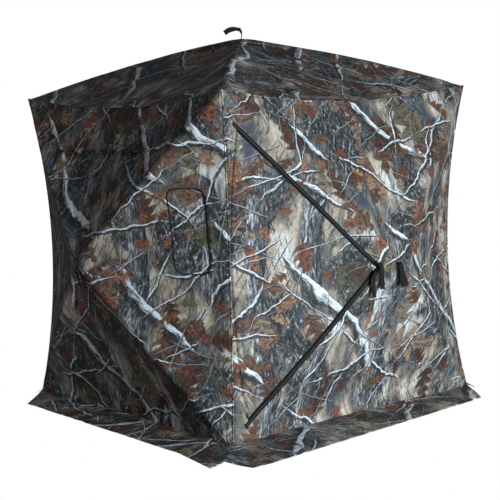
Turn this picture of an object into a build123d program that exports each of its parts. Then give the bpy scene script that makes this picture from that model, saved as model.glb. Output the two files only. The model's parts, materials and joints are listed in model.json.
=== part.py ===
from build123d import *
import os
from math import atan2, cos, degrees, hypot, sin

# Pop up ground blind: a square tent of five tensioned panels (four walls and a roof). Each panel
# is pushed outward by a hub at its centre, from which four rods run to the panel's corners.
# Millimetres, +Z up, origin on the ground at the middle of the footprint.
# The door is in the +X wall, and the windows are in the -Y wall.

# Driving sizes
HALF = 740                 # half of the footprint, corner to corner
EAVE = 1450                # height of the four top corners
MID = EAVE / 2             # height of the wall hubs, and half of a wall's height
WALL_RISE = 250            # how far a wall's peak stands out from the plane of its corners
ROOF_RISE = 265            # how far the roof's peak stands above its corners
CLOTH = 1.5                # fabric thickness
SEAM_GAP = 3               # each panel stops this short of the corner lines
SEAM_BOW = 60              # how far a corner seam curves in, in both directions
EAVE_DROP = 60             # how far the middle of an eave hangs below the corners
EAVE_BOW = 30              # how far it curves in
HEM_BOW = 40               # how far the bottom hem curves in

# Hub and rods
HUB_DEPTH = 48             # pin centres below the panel's peak
HUB_R = 58
HUB_THICK = 24
COVER_THICK = 3
SLOT_WIDTH = 12
SLOT_START = 26
PIN_CIRCLE_R = 40
PIN_R = 2.5
PIN_LENGTH = 36
ROD_R = 4.5
FERRULE_R = 5.5
FERRULE_LENGTH = 42
CAP_R = 5.2
CAP_LENGTH = 18
SOCKET_PLAY = 0.1
TIP_GAP = 75               # rod tip to corner, in the panel's plane
TIP_DEPTH = 25             # rod tip below the plane of the corners

# Pull straps
STRAP_WIDTH = 25
STRAP_THICK = 2
STRAP_HANG = 140
STRAP_SLIT = (32, 20)      # how far below the peak a wall's strap comes out, and its slit's height
STRAP_DEPTH = (32, 4)      # strap below the peak where it leaves the hub, and where it hangs outside
ROOF_STRAP_STAND = 40
ROOF_STRAP_REACH = 85
STRAP_LEAN = 18            # degrees that a wall's strap hangs off the vertical

# Door: a triangle between the hub and one corner seam, in the wall's own x (along) and y (up)
DOOR_HINGE_X = -675
DOOR_TOP_Y = 567
DOOR_FOOT_Y = -630
DOOR_APEX = (-89, -37)
DOOR_LAP = 6               # how far the panel laps over the edge of the opening
DOOR_LIFT = 1.2            # gap between the wall and what lies on it
TAPE_WIDTH = 14
TAPE_GAP = 0.5
TAPE_PAST = 16             # how far the tape runs on past the door's hinge line
SLIDER = (13, 28, 7)       # width, length, height
SLIDER_START = 16          # from the apex to a closed slider's middle
ZIP_STRAP = (16, 112, 2)
ZIP_STRAP_SHIFT = {"upper": 15, "lower": -36}

# Windows in the -Y wall, in the wall's own x and y
BAND_MIDDLE = -30
BAND_TOP = (300, 466)      # half width and height of the wide window's top edge
BAND_FOOT = (70, 190)
SLOT_WINDOW = (150, 358)   # width and height
SLOT_WINDOW_AT = (525, 148)
SLOT_WINDOW_CORNER = 45
CURTAIN_LAP = 22
TOGGLE_COUNT = 9
TOGGLE_ROW = (596, 478)    # length and height of the row
TOGGLE = (4, 18)           # radius and length

# Ground skirts: the outer corners of each, as (along the wall, reach past it), from left to right
SKIRT_THICK = 2
SKIRT_CORNER_GAP = 9       # each skirt stops this short of the corner lines
LONG_LEFT_END = ((-936, 170), (-901, 307), (-815, 313))
LONG_RIGHT_END = ((680, 232), (939, 281), (906, 198))
SKIRTS = {
    "door": (*LONG_LEFT_END, (590, 212)),
    "back": ((-815, -25), (-470, 170), (-300, 225), *LONG_RIGHT_END),
    "side": (*LONG_LEFT_END, (300, 225), (470, 170), (806, -34)),
    "window": ((-564, 194), *LONG_RIGHT_END),
}

# Corner pockets and stake grommets
POCKET_SIZE = 60
POCKET_INSET = 10
POCKET_THICK = 2
TAB_REACH = 138
GROMMET_AT = 620
GROMMET_R = (6, 9)         # bore and outside
GROMMET_FLANGE_R = 12
GROMMET_LIP = 1

WALL_TURN = {"door": 0, "back": 90, "side": 180, "window": 270}
QUADRANTS = {"upper_right": (1, 1), "upper_left": (-1, 1), "lower_left": (-1, -1), "lower_right": (1, -1)}
WALL_PLANE = Plane(origin=(HALF, 0, MID), x_dir=(0, 1, 0), z_dir=(1, 0, 0))
ROOF_PLANE = Plane(origin=(0, 0, EAVE), x_dir=(1, 0, 0), z_dir=(0, 0, 1))


def save(name, *solids):
    export_step(solids[0] if len(solids) == 1 else Compound(children=list(solids)), f"parts/{name}.step")


def on_wall(solid, wall):
    """Carries a solid from wall coordinates (x along, y up, z outward) to its wall, or to the roof."""
    if wall == "roof":
        return solid.moved(ROOF_PLANE.location)
    return solid.moved(WALL_PLANE.location).rotate(Axis.Z, WALL_TURN[wall])


def ring_of(wall):
    """The eight points round a panel: its corners, and the bowed middles of its edges between them."""
    if wall == "roof":
        x = y = HALF - SEAM_GAP
        side = top = foot = (EAVE_BOW, -EAVE_DROP)
    else:
        x, y = HALF - SEAM_GAP, MID - SEAM_GAP
        side, top, foot = (SEAM_BOW, -SEAM_BOW), (EAVE_DROP, -EAVE_BOW), (0, -HEM_BOW)
    return [
        (x, y, 0), (0, y - top[0], top[1]), (-x, y, 0), (side[0] - x, 0, side[1]),
        (-x, -y, 0), (0, foot[0] - y, foot[1]), (x, -y, 0), (x - side[0], 0, side[1]),
    ]


def rise_of(wall):
    return ROOF_RISE if wall == "roof" else WALL_RISE


def triangles_of(wall):
    ring = ring_of(wall)
    peak = (0, 0, rise_of(wall))
    return [(peak, ring[i], ring[(i + 1) % len(ring)]) for i in range(len(ring))]


def panel(wall, lift=0):
    """A panel as one thin pyramid of eight flat plates, lifted outward off the panel's own surface."""
    plates = []
    for corners in triangles_of(wall):
        outline = Wire.make_polygon([(x, y, z + lift) for x, y, z in corners], close=True)
        plates.append(extrude(Face(outline), amount=CLOTH, dir=(0, 0, -1)))
    return plates[0].fuse(*plates[1:]).clean()


def height_at(wall, x, y):
    """How far the outer surface of a panel stands out at (x, y)."""
    for (ax, ay, az), (bx, by, bz), (cx, cy, cz) in triangles_of(wall):
        area = (bx - ax) * (cy - ay) - (cx - ax) * (by - ay)
        v = ((x - ax) * (cy - ay) - (cx - ax) * (y - ay)) / area
        w = ((bx - ax) * (y - ay) - (x - ax) * (by - ay)) / area
        if v >= -1e-9 and w >= -1e-9:
            return az + v * (bz - az) + w * (cz - az)


def prism(outline, depth=400):
    """A flat outline as a tall bar across the panel."""
    return extrude(outline, amount=depth, both=True)


def polygon(*points):
    return Face(Wire.make_polygon([(x, y, 0) for x, y in points], close=True))


def strap_turn(wall):
    """The roof's strap lies along a diagonal, and the walls' straps hang down a little to the right."""
    return -45 if wall == "roof" else STRAP_LEAN


def strap_hole(wall):
    """The roof's strap comes out at the peak, and a wall's through a slit just below it."""
    below, slit = (0, 8) if wall == "roof" else STRAP_SLIT
    hole = Box(STRAP_WIDTH + 5, slit, 80).moved(Location((0, -below, rise_of(wall))))
    return hole.rotate(Axis.Z, strap_turn(wall))


# Door outlines
def door_outline(grow, past=0):
    """The door's triangle, with its two zip edges moved outward by grow, and its hinge side by past."""
    run = DOOR_HINGE_X - DOOR_APEX[0]
    rise_up, rise_down = DOOR_TOP_Y - DOOR_APEX[1], DOOR_FOOT_Y - DOOR_APEX[1]
    slope_up, slope_down = rise_up / run, rise_down / run
    steep_up, steep_down = (grow * hypot(run, rise) / abs(run) for rise in (rise_up, rise_down))
    apex_x = DOOR_APEX[0] - (steep_up + steep_down) / (slope_up - slope_down)
    apex_y = DOOR_APEX[1] + steep_up + slope_up * (apex_x - DOOR_APEX[0])
    top = (DOOR_HINGE_X - past, DOOR_TOP_Y + steep_up - slope_up * past)
    foot = (DOOR_HINGE_X - past, DOOR_FOOT_Y - steep_down - slope_down * past)
    return polygon(top, foot, (apex_x, apex_y))


def band_window(grow):
    (top_x, top_y), (foot_x, foot_y) = BAND_TOP, BAND_FOOT
    outline = polygon(
        (top_x + grow, top_y + grow), (-top_x - grow, top_y + grow),
        (-foot_x - grow, foot_y - grow), (foot_x + grow, foot_y - grow),
    )
    return outline.moved(Location((BAND_MIDDLE, 0, 0)))


def slot_window(grow):
    width, height = (side + 2 * grow for side in SLOT_WINDOW)
    return Location((*SLOT_WINDOW_AT, 0)) * RectangleRounded(width, height, SLOT_WINDOW_CORNER + grow)


# Fabric panels
def make_panels():
    for wall in (*WALL_TURN, "roof"):
        cloth = panel(wall) - strap_hole(wall)
        if wall == "door":
            cloth -= prism(door_outline(-DOOR_LAP))
        if wall == "window":
            cloth = cloth - prism(band_window(0)) - prism(slot_window(0))
        save("roof_canopy" if wall == "roof" else f"{wall}_wall", on_wall(cloth, wall).solid())


def make_windows():
    lining = panel("window", lift=-CLOTH - DOOR_LIFT)
    save("window_curtain", on_wall((lining & prism(band_window(CURTAIN_LAP))).solid(), "window"))
    save("slot_window_mesh", on_wall((lining & prism(slot_window(CURTAIN_LAP / 2))).solid(), "window"))
    length, row_y = TOGGLE_ROW
    radius, span = TOGGLE
    toggles = []
    for i in range(TOGGLE_COUNT):
        x = BAND_MIDDLE + length * (i / (TOGGLE_COUNT - 1) - 0.5)
        at = Location((x, row_y, height_at("window", x, row_y) + 1.5 * radius))
        toggles.append(on_wall(Cylinder(radius, span, rotation=(0, 90, 0)).moved(at), "window"))
    save("window_toggles", *toggles)


# Door, its zip and the two sliders
def make_door():
    cover = panel("door", lift=DOOR_LIFT + CLOTH)
    save("door_panel", on_wall((cover & prism(door_outline(0))).solid(), "door"))
    inside = prism(door_outline(TAPE_GAP, TAPE_PAST + 1))
    tape = prism(door_outline(TAPE_GAP + TAPE_WIDTH, TAPE_PAST)) - inside
    save("door_zip_tape", on_wall((cover & tape).solid(), "door"))
    for name, end_y, side in (("upper", DOOR_TOP_Y, 1), ("lower", DOOR_FOOT_Y, -1)):
        make_slider(name, end_y, side)


def make_slider(name, end_y, side):
    """A slider and its pull strap, beside the start of one arm of the zip, square to that arm."""
    (apex_x, apex_y), (width, length, height) = DOOR_APEX, SLIDER
    start = Vector(apex_x, apex_y, height_at("door", apex_x, apex_y))
    run = (Vector(DOOR_HINGE_X, end_y, height_at("door", DOOR_HINGE_X, end_y)) - start).normalized()
    wall_slope = Vector(height_at("door", -1, 0) - height_at("door", 0, 0), 0, 1)
    up = (wall_slope - run * wall_slope.dot(run)).normalized()
    out = up.cross(run) * -side
    centre = start + run * SLIDER_START + out * (width / 2 + 3 * TAPE_GAP)
    centre += up * (height / 2 + 2 * DOOR_LIFT + CLOTH)
    body = fillet(Box(width, length, height).edges().filter_by(Axis.Z), 4)
    body = body.moved(Plane(origin=centre, x_dir=out, z_dir=up).location).solid()
    save(f"{name}_zip_slider", on_wall(body, "door"))
    strap = Box(*ZIP_STRAP, align=(Align.CENTER, Align.MAX, Align.MIN))
    across, top_y = centre.X + ZIP_STRAP_SHIFT[name], centre.Y - 2 * side
    beside = [height_at("door", across + ZIP_STRAP[0] / 2, top_y - i * ZIP_STRAP[1] / 8) for i in range(9)]
    highest = max(body.bounding_box().max.Z, *beside)
    strap = strap.moved(Location((across, top_y, highest + DOOR_LIFT)))
    save(f"{name}_zip_strap", on_wall(strap.solid(), "door"))


# Hubs
def corner_of(wall, quadrant):
    sx, sy = QUADRANTS[quadrant]
    return (sx * HALF, sy * (HALF if wall == "roof" else MID))


def rod_lines(wall):
    """For each rod: its direction in the panel's plane, and how far and how deep its tip is."""
    pin_z = rise_of(wall) - HUB_DEPTH
    for quadrant in QUADRANTS:
        x, y = corner_of(wall, quadrant)
        reach = hypot(x, y)
        yield quadrant, (x / reach, y / reach), reach - PIN_CIRCLE_R - TIP_GAP, pin_z + TIP_DEPTH, pin_z


def make_hub(wall):
    pin_z = rise_of(wall) - HUB_DEPTH
    strap_way = Box(STRAP_WIDTH + 2, STRAP_THICK + 2, 4 * HUB_THICK).rotate(Axis.Z, strap_turn(wall))
    disc = chamfer(Cylinder(HUB_R, HUB_THICK).edges(), 2)
    cover = Cylinder(HUB_R, COVER_THICK, align=(Align.CENTER, Align.CENTER, Align.MIN))
    cover = chamfer(cover.edges().sort_by(Axis.Z)[-1], 1).moved(Location((0, 0, HUB_THICK / 2))) - strap_way
    disc -= strap_way
    pins = []
    for _, (dx, dy), _, _, _ in rod_lines(wall):
        angle = degrees(atan2(dy, dx))
        slot = Box(HUB_R, SLOT_WIDTH, 2 * HUB_THICK, align=(Align.MIN, Align.CENTER, Align.CENTER))
        disc -= slot.moved(Location((SLOT_START, 0, 0))).rotate(Axis.Z, angle)
        pin = Cylinder(PIN_R, PIN_LENGTH, rotation=(90, 0, 0)).moved(Location((PIN_CIRCLE_R, 0, 0)))
        pins.append(pin.rotate(Axis.Z, angle))
        disc -= pins[-1]
    strap = make_strap(wall, pin_z).rotate(Axis.Z, strap_turn(wall))
    lift = Location((0, 0, pin_z))
    save(f"{wall}_hub", on_wall(disc.solid().moved(lift), wall))
    save(f"{wall}_hub_cover", on_wall(cover.solid().moved(lift), wall))
    save(f"{wall}_hub_pins", *[on_wall(pin.solid().moved(lift), wall) for pin in pins])
    save(f"{wall}_hub_strap", on_wall(strap, wall))


def make_strap(wall, pin_z):
    """A webbing strap folded under the hub, passed up through it, and hanging outside."""
    half, peak = STRAP_THICK / 2, rise_of(wall)
    low = pin_z - HUB_THICK / 2 - STRAP_THICK - 0.3
    if wall == "roof":
        high, reach = peak + ROOF_STRAP_STAND, ROOF_STRAP_REACH
        outer, inner = [(half, high)], [(-half, high - STRAP_THICK)]
    else:
        turn, high, reach = peak - STRAP_DEPTH[0], peak - STRAP_DEPTH[1], STRAP_HANG
        out = STRAP_SLIT[0] + STRAP_SLIT[1] / 4
        outer = [(half, turn), (-out, high)]
        inner = [(-out - half, high - STRAP_THICK), (-half, turn - half)]
    side = [
        (half, low), *outer, (-reach, high), (-reach, high - STRAP_THICK), *inner,
        (-half, low + STRAP_THICK), (-STRAP_WIDTH, low + STRAP_THICK), (-STRAP_WIDTH, low),
    ]
    outline = Face(Wire.make_polygon([(-STRAP_WIDTH / 2, y, z) for y, z in side], close=True))
    return extrude(outline, amount=STRAP_WIDTH, dir=(1, 0, 0))


# Rods
def make_rods(wall):
    """Each rod is a glass-fibre rod with a drilled ferrule at the hub and a cap at its tip."""
    for quadrant, (dx, dy), flat, drop, pin_z in rod_lines(wall):
        length = hypot(flat, drop)
        start = Align.CENTER, Align.CENTER, Align.MIN
        socket = Cylinder(ROD_R + SOCKET_PLAY, FERRULE_LENGTH, align=start).moved(Location((0, 0, 10)))
        ferrule = Cylinder(FERRULE_R, FERRULE_LENGTH + 8, align=start).moved(Location((0, 0, -8))) - socket
        ferrule -= Cylinder(PIN_R + 0.3, 3 * FERRULE_R, rotation=(90, 0, 0))
        rod = Cylinder(ROD_R, length - 13, align=start).moved(Location((0, 0, 10)))
        mouth = Cylinder(ROD_R + SOCKET_PLAY, CAP_LENGTH - 3, align=start)
        cap = Cylinder(CAP_R, CAP_LENGTH, align=start) - mouth
        cap = fillet(cap.edges().sort_by(Axis.Z)[-1], 2).moved(Location((0, 0, length - CAP_LENGTH)))
        line = Vector(dx * flat, dy * flat, -drop).normalized()
        across = Vector(dy, -dx, 0)
        seat = Plane(
            origin=(dx * PIN_CIRCLE_R, dy * PIN_CIRCLE_R, pin_z), x_dir=line.cross(across), z_dir=line
        )
        pieces = [on_wall(piece.solid().moved(seat.location), wall) for piece in (ferrule, rod, cap)]
        save(f"{wall}_rod_{quadrant}", *pieces)


# Ground skirts, corner pockets and stake grommets
def make_skirt(wall):
    """A strip of cloth flat on the ground, from under the hem out to two pointed ends."""
    inner, side = HALF - SEAM_GAP - CLOTH, HALF - SKIRT_CORNER_GAP
    tab_end, beside_tab = HALF - POCKET_INSET - TAB_REACH, HALF - POCKET_INSET + 2
    near_tab = [(inner, side), (beside_tab, tab_end)]
    points = [*near_tab, (inner - HEM_BOW, 0), *((x, -y) for x, y in reversed(near_tab))]
    points += [(HALF + reach, along) for along, reach in SKIRTS[wall]]
    outline = Face(Wire.make_polygon([(x, y, 0) for x, y in points], close=True))
    strip = extrude(outline, amount=SKIRT_THICK, dir=(0, 0, 1))
    save(f"{wall}_skirt", strip.solid().rotate(Axis.Z, WALL_TURN[wall]))


def make_corners():
    outer = HALF - POCKET_INSET
    corner = Align.MAX, Align.MAX, Align.MAX
    block = Box(POCKET_SIZE, POCKET_SIZE, POCKET_SIZE, align=corner)
    cup = block - block.moved(Location((-POCKET_THICK,) * 3))
    upper = cup.solid().moved(Location((outer, outer, EAVE - POCKET_INSET)))
    lower = cup.solid().mirror(Plane.XY).moved(Location((outer, outer, 0)))
    tab = Box(TAB_REACH, TAB_REACH, POCKET_THICK, align=(Align.MAX, Align.MAX, Align.MIN))
    seat = Location((GROMMET_AT, GROMMET_AT, 0))
    bore, outside = GROMMET_R
    hole = Cylinder(outside, 4 * POCKET_THICK).moved(seat)
    lower = (lower + tab.moved(Location((outer, outer, 0))) - hole).solid()
    up = Align.CENTER, Align.CENTER, Align.MIN
    ring = Cylinder(outside, POCKET_THICK, align=up)
    ring += Cylinder(GROMMET_FLANGE_R, GROMMET_LIP, align=up).moved(Location((0, 0, POCKET_THICK)))
    ring = (ring - Cylinder(bore, 4 * POCKET_THICK)).solid().moved(seat)
    turns = WALL_TURN.values()
    save("corner_pockets", *[cup.rotate(Axis.Z, turn) for turn in turns for cup in (upper, lower)])
    save("stake_grommets", *[ring.rotate(Axis.Z, turn) for turn in turns])


os.makedirs("parts", exist_ok=True)
make_panels()
make_windows()
make_door()
make_corners()
for name in (*WALL_TURN, "roof"):
    make_hub(name)
    make_rods(name)
for name in WALL_TURN:
    make_skirt(name)
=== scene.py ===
import json
import math

import bpy
from mathutils import Matrix, Vector, kdtree, noise
from mathutils.geometry import delaunay_2d_cdt
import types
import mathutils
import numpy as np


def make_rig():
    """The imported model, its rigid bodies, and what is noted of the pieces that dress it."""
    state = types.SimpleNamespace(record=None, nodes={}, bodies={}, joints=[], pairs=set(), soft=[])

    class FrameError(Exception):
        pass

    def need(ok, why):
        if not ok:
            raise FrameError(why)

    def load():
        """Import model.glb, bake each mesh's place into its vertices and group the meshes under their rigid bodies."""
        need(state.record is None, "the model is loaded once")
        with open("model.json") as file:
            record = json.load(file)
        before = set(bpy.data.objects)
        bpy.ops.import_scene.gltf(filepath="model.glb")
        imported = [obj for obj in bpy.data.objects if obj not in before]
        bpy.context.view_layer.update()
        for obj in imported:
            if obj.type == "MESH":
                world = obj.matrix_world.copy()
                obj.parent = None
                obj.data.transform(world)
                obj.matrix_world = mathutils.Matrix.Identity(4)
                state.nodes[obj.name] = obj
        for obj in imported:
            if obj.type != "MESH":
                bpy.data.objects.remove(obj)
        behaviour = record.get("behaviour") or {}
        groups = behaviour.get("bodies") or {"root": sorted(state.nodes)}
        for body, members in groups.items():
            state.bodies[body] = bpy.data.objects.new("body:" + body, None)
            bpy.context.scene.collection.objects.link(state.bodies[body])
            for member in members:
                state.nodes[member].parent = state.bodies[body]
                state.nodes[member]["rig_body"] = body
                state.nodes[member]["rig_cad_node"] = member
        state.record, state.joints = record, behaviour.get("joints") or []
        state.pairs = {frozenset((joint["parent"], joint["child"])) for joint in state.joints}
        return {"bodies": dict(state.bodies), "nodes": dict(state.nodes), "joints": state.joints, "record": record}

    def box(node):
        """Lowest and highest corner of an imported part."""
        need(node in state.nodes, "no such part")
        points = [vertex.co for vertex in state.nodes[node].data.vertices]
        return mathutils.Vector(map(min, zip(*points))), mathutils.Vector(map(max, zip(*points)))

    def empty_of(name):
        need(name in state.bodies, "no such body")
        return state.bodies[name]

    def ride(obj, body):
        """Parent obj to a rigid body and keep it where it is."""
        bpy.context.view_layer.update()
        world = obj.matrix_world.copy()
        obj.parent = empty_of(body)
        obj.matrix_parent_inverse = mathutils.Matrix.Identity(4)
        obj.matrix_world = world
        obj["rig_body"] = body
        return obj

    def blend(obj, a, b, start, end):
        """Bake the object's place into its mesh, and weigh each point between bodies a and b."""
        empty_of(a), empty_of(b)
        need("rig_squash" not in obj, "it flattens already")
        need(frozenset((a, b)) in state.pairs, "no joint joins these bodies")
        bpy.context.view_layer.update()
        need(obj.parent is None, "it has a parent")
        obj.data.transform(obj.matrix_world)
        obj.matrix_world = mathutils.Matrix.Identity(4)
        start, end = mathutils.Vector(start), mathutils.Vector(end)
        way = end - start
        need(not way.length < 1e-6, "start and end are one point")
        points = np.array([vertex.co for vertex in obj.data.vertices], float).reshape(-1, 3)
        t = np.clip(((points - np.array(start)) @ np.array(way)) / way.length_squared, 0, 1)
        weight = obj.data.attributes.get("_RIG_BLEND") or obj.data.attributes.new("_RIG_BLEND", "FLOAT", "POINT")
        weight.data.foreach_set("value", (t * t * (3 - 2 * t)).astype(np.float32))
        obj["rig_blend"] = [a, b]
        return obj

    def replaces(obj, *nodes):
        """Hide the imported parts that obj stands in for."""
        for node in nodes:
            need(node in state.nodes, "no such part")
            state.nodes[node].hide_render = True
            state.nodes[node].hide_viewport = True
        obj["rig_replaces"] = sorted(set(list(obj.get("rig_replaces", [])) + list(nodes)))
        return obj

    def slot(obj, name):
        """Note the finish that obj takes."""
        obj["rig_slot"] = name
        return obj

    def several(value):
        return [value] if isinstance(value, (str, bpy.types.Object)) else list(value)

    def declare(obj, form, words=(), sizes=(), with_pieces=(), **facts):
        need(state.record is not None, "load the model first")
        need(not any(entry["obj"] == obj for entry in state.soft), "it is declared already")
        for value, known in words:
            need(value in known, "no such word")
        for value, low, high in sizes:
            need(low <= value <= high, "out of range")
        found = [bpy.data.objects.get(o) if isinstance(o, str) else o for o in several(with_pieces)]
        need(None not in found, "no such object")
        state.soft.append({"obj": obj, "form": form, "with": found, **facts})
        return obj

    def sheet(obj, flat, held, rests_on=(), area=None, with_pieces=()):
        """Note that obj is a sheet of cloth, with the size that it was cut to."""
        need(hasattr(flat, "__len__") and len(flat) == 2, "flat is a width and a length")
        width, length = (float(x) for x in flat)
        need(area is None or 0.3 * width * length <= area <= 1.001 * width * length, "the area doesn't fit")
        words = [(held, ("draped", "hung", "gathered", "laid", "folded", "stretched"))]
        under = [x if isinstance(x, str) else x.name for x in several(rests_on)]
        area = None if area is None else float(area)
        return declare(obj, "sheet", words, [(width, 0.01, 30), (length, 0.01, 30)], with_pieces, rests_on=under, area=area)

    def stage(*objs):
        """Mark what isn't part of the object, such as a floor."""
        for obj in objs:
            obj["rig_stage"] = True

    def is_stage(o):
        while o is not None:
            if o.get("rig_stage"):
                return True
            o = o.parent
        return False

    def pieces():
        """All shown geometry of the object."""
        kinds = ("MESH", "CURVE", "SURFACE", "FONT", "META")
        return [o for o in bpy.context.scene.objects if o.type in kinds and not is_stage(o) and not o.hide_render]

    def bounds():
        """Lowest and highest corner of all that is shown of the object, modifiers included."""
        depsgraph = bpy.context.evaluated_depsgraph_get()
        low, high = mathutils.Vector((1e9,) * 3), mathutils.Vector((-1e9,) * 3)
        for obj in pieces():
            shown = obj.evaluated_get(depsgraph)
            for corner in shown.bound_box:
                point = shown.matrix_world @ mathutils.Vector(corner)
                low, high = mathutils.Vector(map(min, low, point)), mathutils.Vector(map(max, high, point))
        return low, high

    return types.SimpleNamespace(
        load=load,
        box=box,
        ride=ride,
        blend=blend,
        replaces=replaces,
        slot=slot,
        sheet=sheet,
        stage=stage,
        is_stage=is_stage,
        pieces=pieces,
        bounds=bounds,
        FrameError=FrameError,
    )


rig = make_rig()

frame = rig.load()
CAD_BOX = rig.bounds()

# Driving sizes, in metres. A panel's own coordinates are x along it, y up it and z out of it,
# from the middle of the plane of its four corners.
SEAM_GAP = 0.003
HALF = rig.box("roof_canopy")[1].x + SEAM_GAP
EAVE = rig.box("door_wall")[1].z + SEAM_GAP
MID = EAVE / 2
TURN = {"door": 0, "back": 90, "side": 180, "window": 270}
PANELS = (*TURN, "roof")
RISE = {panel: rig.box("door_wall")[1].x - HALF for panel in TURN}
RISE["roof"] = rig.box("roof_canopy")[1].z - EAVE
CLOTH = 0.0011
ROD_BOW = 0.020            # how far the bent rods lift the ridges above a straight line
RIDGE_R = 0.025            # how far from a ridge's line the cloth curves over the rod
PEAK_R, PEAK_DROP = 0.07, 0.005
SPACING = 0.0125           # mesh size of the cloth
ROW_SHARE = 0.866          # height of a row of even-sided triangles
FLARE_HEIGHT, FLARE_REACH = 0.13, 0.045
# How far the middle of each edge curves in, in the panel's plane and below it
WALL_BOWS = {"right": (0.06, 0.06), "left": (0.06, 0.06), "top": (0.06, 0.03), "bottom": (0.0, 0.04)}
ROOF_BOWS = dict.fromkeys(WALL_BOWS, (0.03, 0.06))
# How much of a point's share of the pop comes from its height, so that every edge stays still
POP_SHARE = {panel: 1.05 for panel in TURN} | {"roof": 0.627}
POP_REACH = 1.05

DOOR_HINGE_X = -0.675
DOOR_TOP, DOOR_FOOT, DOOR_APEX = (-0.675, 0.567), (-0.675, -0.630), (-0.089, -0.037)
TAPE_END = -0.691           # the tape runs on a little past the hinge line
BAND_MIDDLE, BAND_TOP, BAND_FOOT = -0.030, (0.300, 0.466), (0.070, 0.190)
SLOT_AT, SLOT_SIZE, SLOT_CORNER = (0.525, 0.148), (0.150, 0.358), 0.045
TOGGLE_Y, TOGGLE_LENGTH, TOGGLE_COUNT = 0.478, 0.596, 9
# The outer corners of the ground skirts, as (along the wall, reach past it), from left to right
SKIRT_REACH = 0.25
LONG_LEFT_END = ((-0.936, 0.170), (-0.901, 0.307), (-0.815, 0.313))
LONG_RIGHT_END = ((0.680, 0.232), (0.939, 0.281), (0.910, 0.196))
SKIRTS = {
    "door": (*LONG_LEFT_END, (0.590, 0.212)),
    "back": ((-0.815, -0.025), (-0.470, 0.170), (-0.300, 0.225), *LONG_RIGHT_END),
    "side": (*LONG_LEFT_END, (0.300, 0.225), (0.470, 0.170), (0.806, -0.034)),
    "window": ((-0.564, 0.194), *LONG_RIGHT_END),
}


# Places on a panel
def place(panel, x, y, z):
    if panel == "roof":
        return Vector((x, y, EAVE + z))
    return Matrix.Rotation(math.radians(TURN[panel]), 3, "Z") @ Vector((HALF + z, x, MID + y))


def outward(panel):
    return place(panel, 0, 0, 1) - place(panel, 0, 0, 0)


def rightward(panel):
    return place(panel, 1, 0, 0) - place(panel, 0, 0, 0)


def half_size(panel):
    return (HALF, HALF if panel == "roof" else MID)


def facet_at(panel, x, y):
    hx, hy = half_size(panel)
    if abs(x) * hy >= abs(y) * hx:
        return "right" if x > 0 else "left"
    return "top" if y > 0 else "bottom"


def turned(side, out, along):
    """A point in a facet, from how far it is towards the facet's edge and along that edge."""
    places = {"right": (out, along), "top": (-along, out), "left": (-out, -along), "bottom": (along, -out)}
    return places[side]


def edge_shape(panel, side):
    """The facet's reach, half length, and its edge's two bows."""
    hx, hy = half_size(panel)
    reach, half = (hx, hy) if side in ("right", "left") else (hy, hx)
    return (reach, half, *(ROOF_BOWS if panel == "roof" else WALL_BOWS)[side])


def height(panel, x, y):
    """How far the smooth cloth stands out of the panel's plane at (x, y)."""
    side = facet_at(panel, x, y)
    reach, half, bow, depth = edge_shape(panel, side)
    out, along = (abs(x), y) if side in ("right", "left") else (abs(y), x)
    slope = along / max(out, 1e-6)
    if bow * abs(slope) < 1e-5:
        v = slope * (reach - bow) / half
    else:
        root = math.sqrt(max(half * half - 4 * slope * slope * bow * (reach - bow), 0))
        v = (half - root) / (2 * slope * bow)
    v = max(-1, min(1, v))
    s = 1 - out / (reach - bow * (1 - v * v))
    z = RISE[panel] * s - depth * (1 - v * v) * (1 - s)
    z += ROD_BOW * 4 * max(s, 0) * (1 - s) * (0.8 * v * v + 0.2)
    ridge = abs(out * half - abs(along) * reach) / math.hypot(reach, half)
    z -= 0.25 * max(0, RIDGE_R - ridge) ** 2 / (2 * RIDGE_R)
    return z - PEAK_DROP * max(0, 1 - math.hypot(x, y) / PEAK_R) ** 2


def edge_distance(panel, x, y):
    side = facet_at(panel, x, y)
    reach, half, bow, _ = edge_shape(panel, side)
    out, along = (abs(x), y) if side in ("right", "left") else (abs(y), x)
    return reach - bow * (1 - (along / half) ** 2) - out


def wrinkles(panel, x, y):
    """Slack and tension folds: rays from the hub and the corners, and a slow waviness."""
    seed = 3.7 * PANELS.index(panel)
    hx, hy = half_size(panel)
    fade = min(1, max(0, edge_distance(panel, x, y)) / 0.06)
    slow = 0.0045 * noise.noise(Vector((3.1 * x, 3.1 * y, seed)))
    fine = 0.0016 * noise.noise(Vector((11 * x + 4 * y, 9 * y - 3 * x, seed + 5)))
    rays = 0.0022 * math.exp(-math.hypot(x, y) / 0.2) * math.sin(9 * math.atan2(y, x) + seed)
    cx, cy = math.copysign(hx, x) - x, math.copysign(hy, y) - y
    near = math.hypot(cx, cy)
    folds = 0.004 * math.exp(-near / 0.22) * noise.noise(Vector((9 * math.atan2(cy, cx), 2 * near, seed + 9)))
    loose = max(0, 1 - edge_distance(panel, x, y) / 0.16)
    sag = 0.003 * noise.noise(Vector((24 * x, 5 * y, seed + 2))) * loose
    return fade * (slow + fine + rays + folds + sag)


def flare(panel, x, y):
    """How far the foot of a wall curves out towards its skirt, with small folds."""
    if panel == "roof":
        return 0.0
    low = max(0.0, 1 - (y + MID) / FLARE_HEIGHT)
    ends = max(0.0, 1 - (abs(x) / HALF) ** 8)
    return ends * low ** 2 * (FLARE_REACH + 0.012 * noise.noise(Vector((19 * x, 2.0, PANELS.index(panel)))))


def on_cloth(panel, lift=0.0):
    """Where a panel's cloth is, as a function of its own coordinates."""
    def lay(x, y):
        return place(panel, x, y, height(panel, x, y) + wrinkles(panel, x, y) + flare(panel, x, y) + lift)
    return lay


# Mesh tools
def dense(points, step=SPACING):
    """A closed outline with points no further apart than step."""
    out = []
    for a, b in zip(points, points[1:] + points[:1]):
        count = max(1, math.ceil(math.dist(a, b) / step))
        out += [(a[0] + (b[0] - a[0]) * i / count, a[1] + (b[1] - a[1]) * i / count) for i in range(count)]
    return out


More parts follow.
